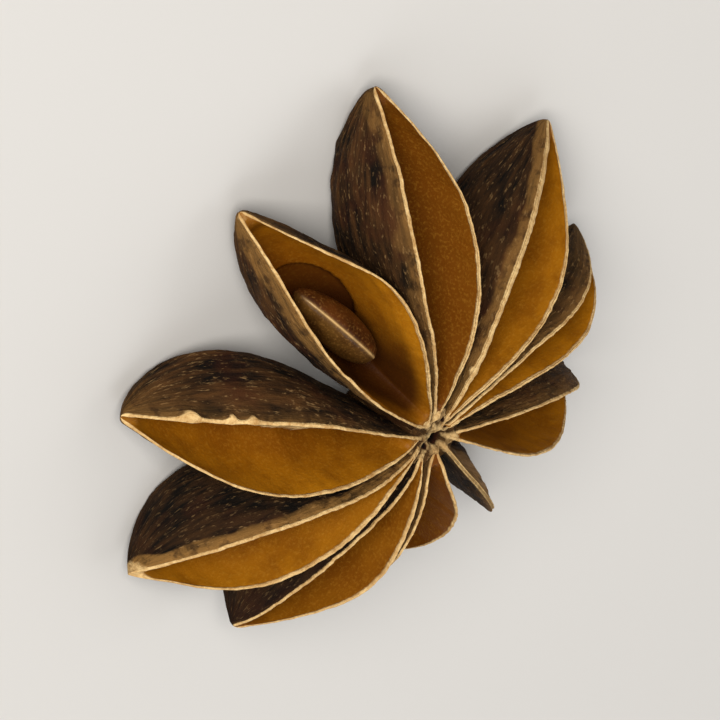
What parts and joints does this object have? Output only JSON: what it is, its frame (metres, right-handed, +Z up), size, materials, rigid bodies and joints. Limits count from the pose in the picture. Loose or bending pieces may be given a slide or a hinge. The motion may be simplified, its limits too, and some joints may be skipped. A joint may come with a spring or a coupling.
{
  "type": "star anise pod",
  "caption": "Dried star anise pod: a woody star of boat-shaped carpels round a short column, split open along their upper seams, with a glossy seed left in its boat.",
  "frame": {"origin": "under the middle of the pod's outline, on the surface it lies on", "axes": "+Z up along the column, out of the open side; X along the pod's longest width"},
  "size_m": [0.035, 0.0334, 0.0092],
  "materials": {
    "husk": "matte, rough and fibrous outside, satin amber inside the boats, paler rims",
    "seed": "smooth and glossy"
  },
  "bodies": {
    "root": {"husk": "husk", "seed": "seed"}
  },
  "joints": []
}
